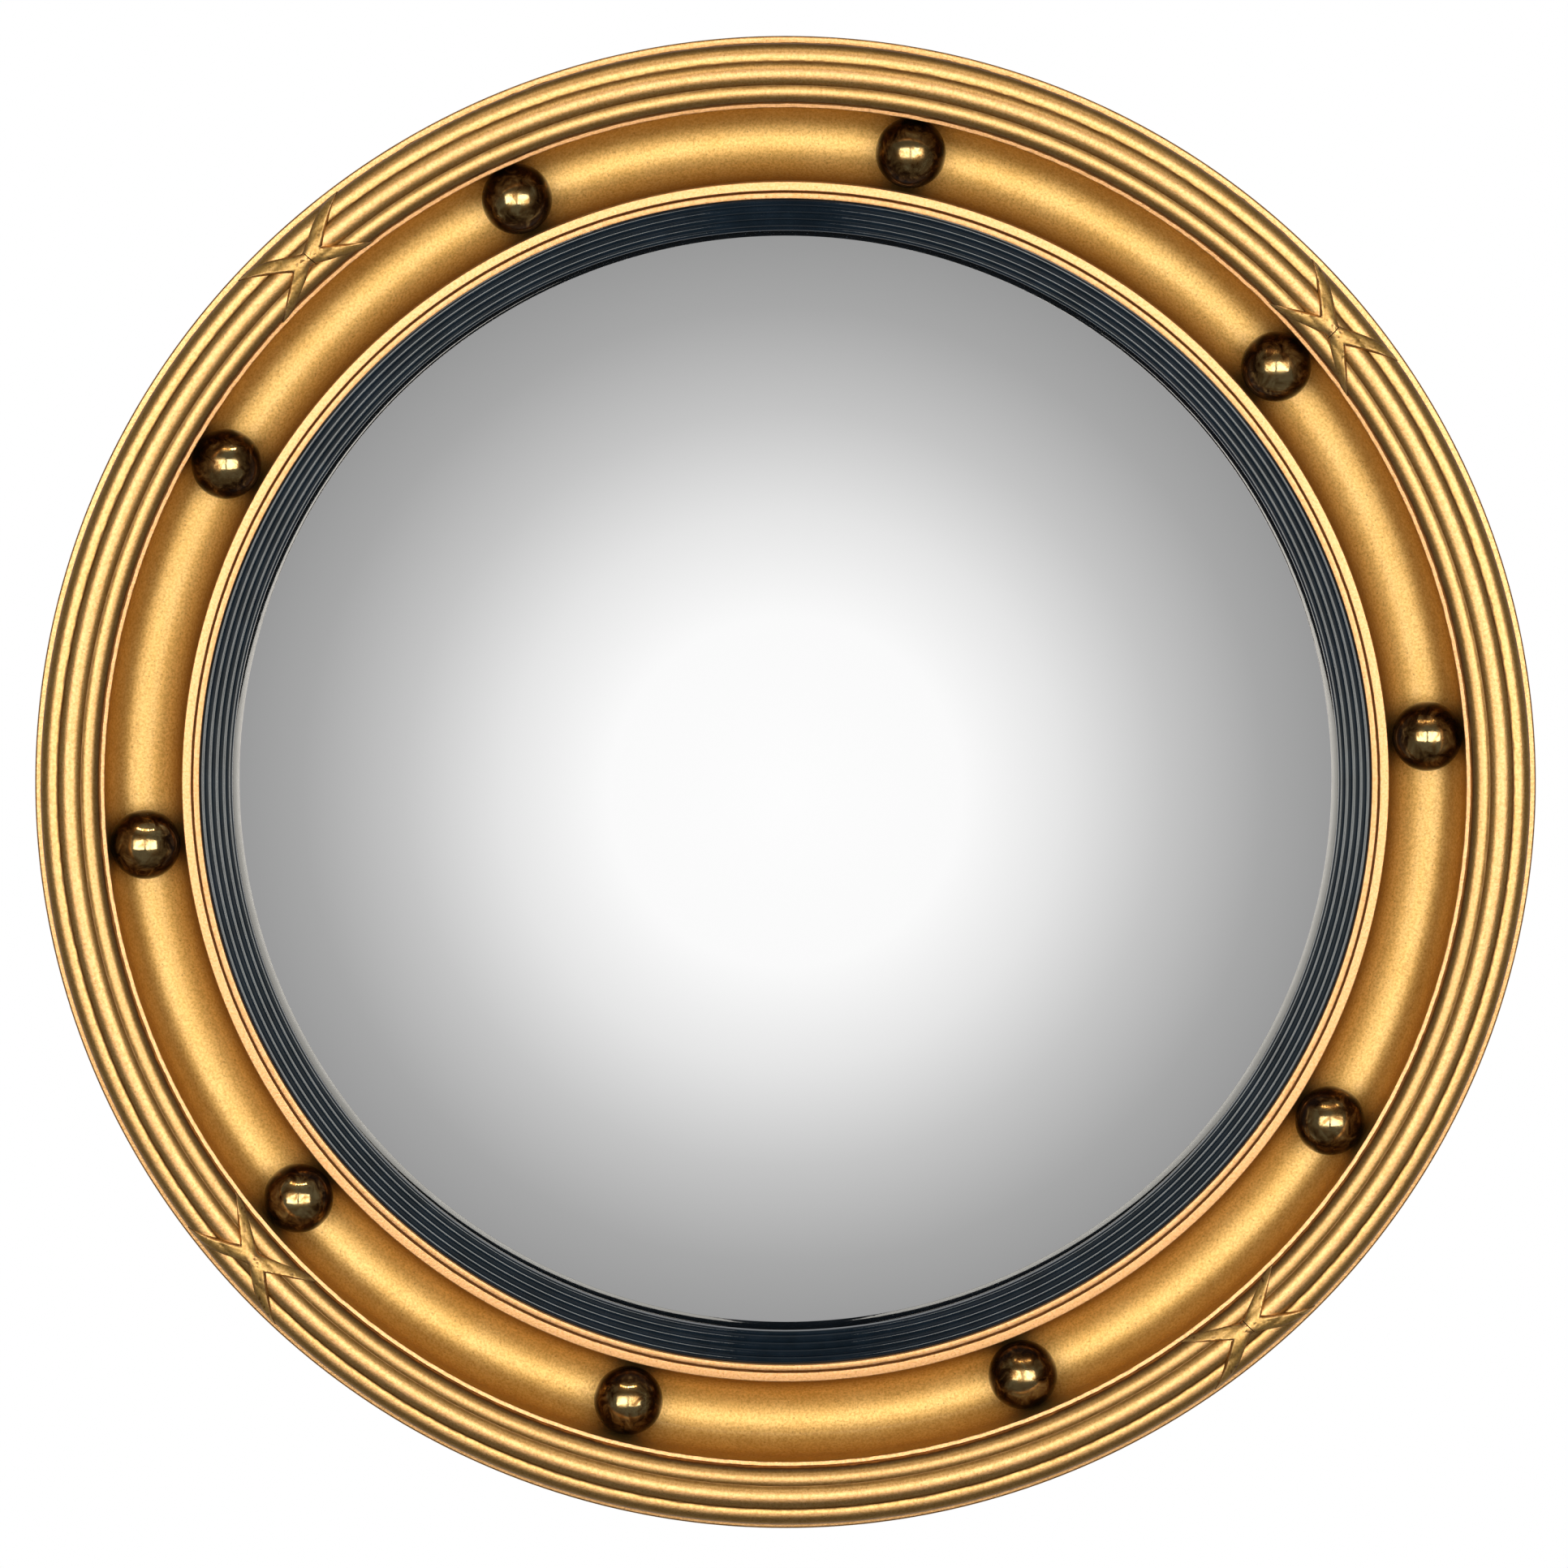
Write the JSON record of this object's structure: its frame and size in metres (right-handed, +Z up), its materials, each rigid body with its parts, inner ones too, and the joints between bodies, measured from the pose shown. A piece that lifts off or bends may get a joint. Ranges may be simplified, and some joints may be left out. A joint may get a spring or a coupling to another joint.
{
  "type": "convex wall mirror",
  "caption": "Round convex wall mirror in a gilded ring moulding with reeds, ribbon ties, a ball-set cove and an ebonised slip, closed at the back by turn buttons.",
  "frame": {"origin": "centre of the wall plane, which the three wall bumpers touch", "axes": "+Y towards the wall, -Y towards the room along the mirror's axis, +Z up, +X to the right as seen from the room"},
  "size_m": [0.406, 0.0468, 0.406],
  "materials": {
    "gilt_moulding": "bronze-gold paint toned with a dark glaze, satin",
    "gilt_composition": "bronze-gold paint, rubbed on the edges",
    "bronzed_balls": "bronzed lacquer, glossy and mottled",
    "ebonised_wood": "gloss black lacquer",
    "silvered_glass": "polished",
    "cork": "pressed cork",
    "hardboard": "smooth face",
    "brass_fittings": "stamped and plated",
    "rubber_pads": "matt"
  },
  "bodies": {
    "mirror": {"frame_moulding": "gilt_moulding", "ebonised_slip": "ebonised_wood", "mirror_glass": "silvered_glass", "packing_ring": "cork", "backboard": "hardboard", "ball_01": "bronzed_balls", "ball_02": "bronzed_balls", "ball_03": "bronzed_balls", "ball_04": "bronzed_balls", "ball_05": "bronzed_balls", "ball_06": "bronzed_balls", "ball_07": "bronzed_balls", "ball_08": "bronzed_balls", "ball_09": "bronzed_balls", "ball_10": "bronzed_balls", "ribbon_tie_1": "gilt_composition", "ribbon_tie_2": "gilt_composition", "ribbon_tie_3": "gilt_composition", "ribbon_tie_4": "gilt_composition", "turn_button_screws": "brass_fittings", "hanger_plate": "brass_fittings", "hanger_screws": "brass_fittings", "wall_bumper_1": "rubber_pads", "wall_bumper_2": "rubber_pads", "wall_bumper_3": "rubber_pads"},
    "turn_button_1": {"turn_button_1": "brass_fittings"},
    "turn_button_2": {"turn_button_2": "brass_fittings"},
    "turn_button_3": {"turn_button_3": "brass_fittings"},
    "turn_button_4": {"turn_button_4": "brass_fittings"},
    "hanger_ring": {"hanger_ring": "brass_fittings"}
  },
  "joints": [
    {"name": "turn_button_1_pivot", "type": "hinge", "parent": "mirror", "child": "turn_button_1", "pos_m": [0.12799, -0.0055, 0.12799], "axis": [0, 1, 0], "continuous": true},
    {"name": "turn_button_2_pivot", "type": "hinge", "parent": "mirror", "child": "turn_button_2", "pos_m": [0.12799, -0.0055, -0.12799], "axis": [0, 1, 0], "continuous": true},
    {"name": "turn_button_3_pivot", "type": "hinge", "parent": "mirror", "child": "turn_button_3", "pos_m": [-0.12799, -0.0055, -0.12799], "axis": [0, 1, 0], "continuous": true},
    {"name": "turn_button_4_pivot", "type": "hinge", "parent": "mirror", "child": "turn_button_4", "pos_m": [-0.12799, -0.0055, 0.12799], "axis": [0, 1, 0], "continuous": true},
    {"name": "hanger_ring_swing", "type": "hinge", "parent": "mirror", "child": "hanger_ring", "pos_m": [0, -0.0035, 0.178], "axis": [1, 0, 0], "range_deg": [0, 180]}
  ]
}
